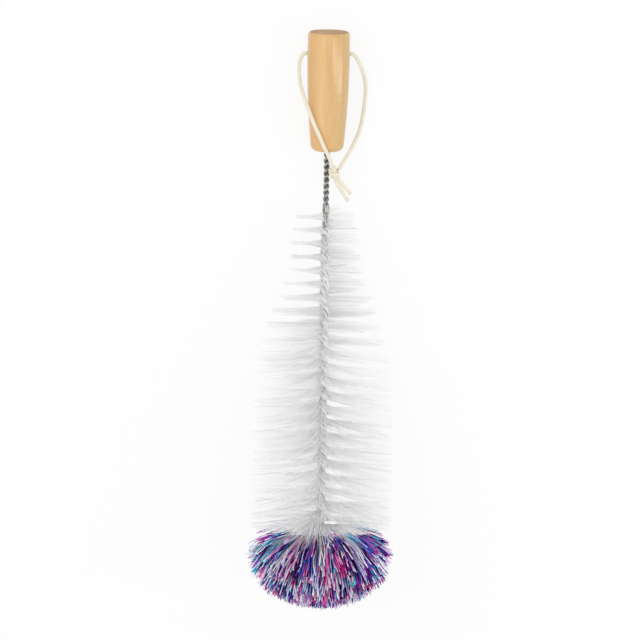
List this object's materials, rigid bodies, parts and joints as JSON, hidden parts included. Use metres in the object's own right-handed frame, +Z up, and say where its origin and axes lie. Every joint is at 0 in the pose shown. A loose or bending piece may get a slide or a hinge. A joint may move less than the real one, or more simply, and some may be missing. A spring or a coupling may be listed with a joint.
{
  "type": "bottle brush",
  "caption": "Bottle brush with a turned wooden handle, a twisted wire stem, spiral nylon bristles, a yarn head and a knotted hanging lace.",
  "frame": {"origin": "on the floor under the middle of the brush's box, measured without the lace", "axes": "+Z up as the brush lies at rest, +Y along the brush towards the handle, +X to the right seen from the yarn head. The wire sags by 6.5 degrees in the shoulder of the bristles and is bent up by 23 degrees in the bare stem, so that the handle lies almost level and the bristles slope up to the yarn head"},
  "size_m": [0.0942, 0.3684, 0.1173],
  "materials": {
    "handle": "satin varnish",
    "core_wire": "dull galvanised wire",
    "bristles": "translucent nylon",
    "yarn_head": "mixed coloured yarn",
    "lace": "matt"
  },
  "bodies": {
    "root": {"handle": "handle", "core_wire": "core_wire", "bristles": "bristles", "yarn_head": "yarn_head", "lace": "lace"}
  },
  "joints": []
}
